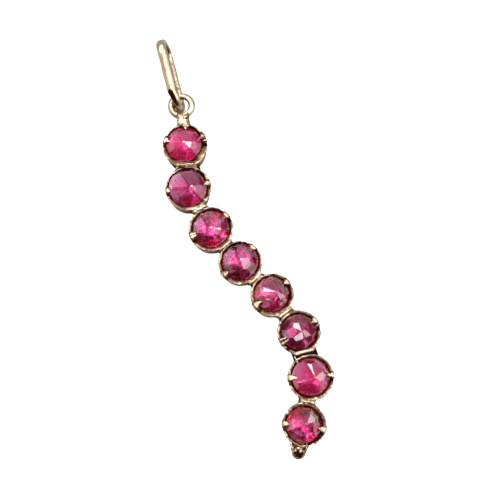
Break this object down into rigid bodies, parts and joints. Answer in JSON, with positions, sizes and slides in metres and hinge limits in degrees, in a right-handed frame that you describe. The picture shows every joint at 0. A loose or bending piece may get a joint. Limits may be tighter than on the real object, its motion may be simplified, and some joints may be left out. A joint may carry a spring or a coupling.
{
  "type": "garnet pendant",
  "caption": "Lying pendant drop of round rose-cut garnets in closed-back gold collets soldered in a gentle curve, with an eyelet ring, a long loose bail and a gold ball at the foot.",
  "frame": {"origin": "on the surface that the collet backs rest on, under the middle of the outline", "axes": "+Z out of the front of the stones, +Y towards the bail along the drop, +X to the right as seen from the front"},
  "size_m": [0.0197, 0.0475, 0.004],
  "materials": {
    "gold": "polished and worn pale yellow gold",
    "garnet": "polished facets with rubbed edges",
    "foil": "bright crumpled foil"
  },
  "bodies": {
    "root": {"setting": "gold", "bail": "gold", "stone_1": "garnet", "stone_2": "garnet", "stone_3": "garnet", "stone_4": "garnet", "stone_5": "garnet", "stone_6": "garnet", "stone_7": "garnet", "stone_8": "garnet", "foil_1": "foil", "foil_2": "foil", "foil_3": "foil", "foil_4": "foil", "foil_5": "foil", "foil_6": "foil", "foil_7": "foil", "foil_8": "foil"}
  },
  "joints": []
}
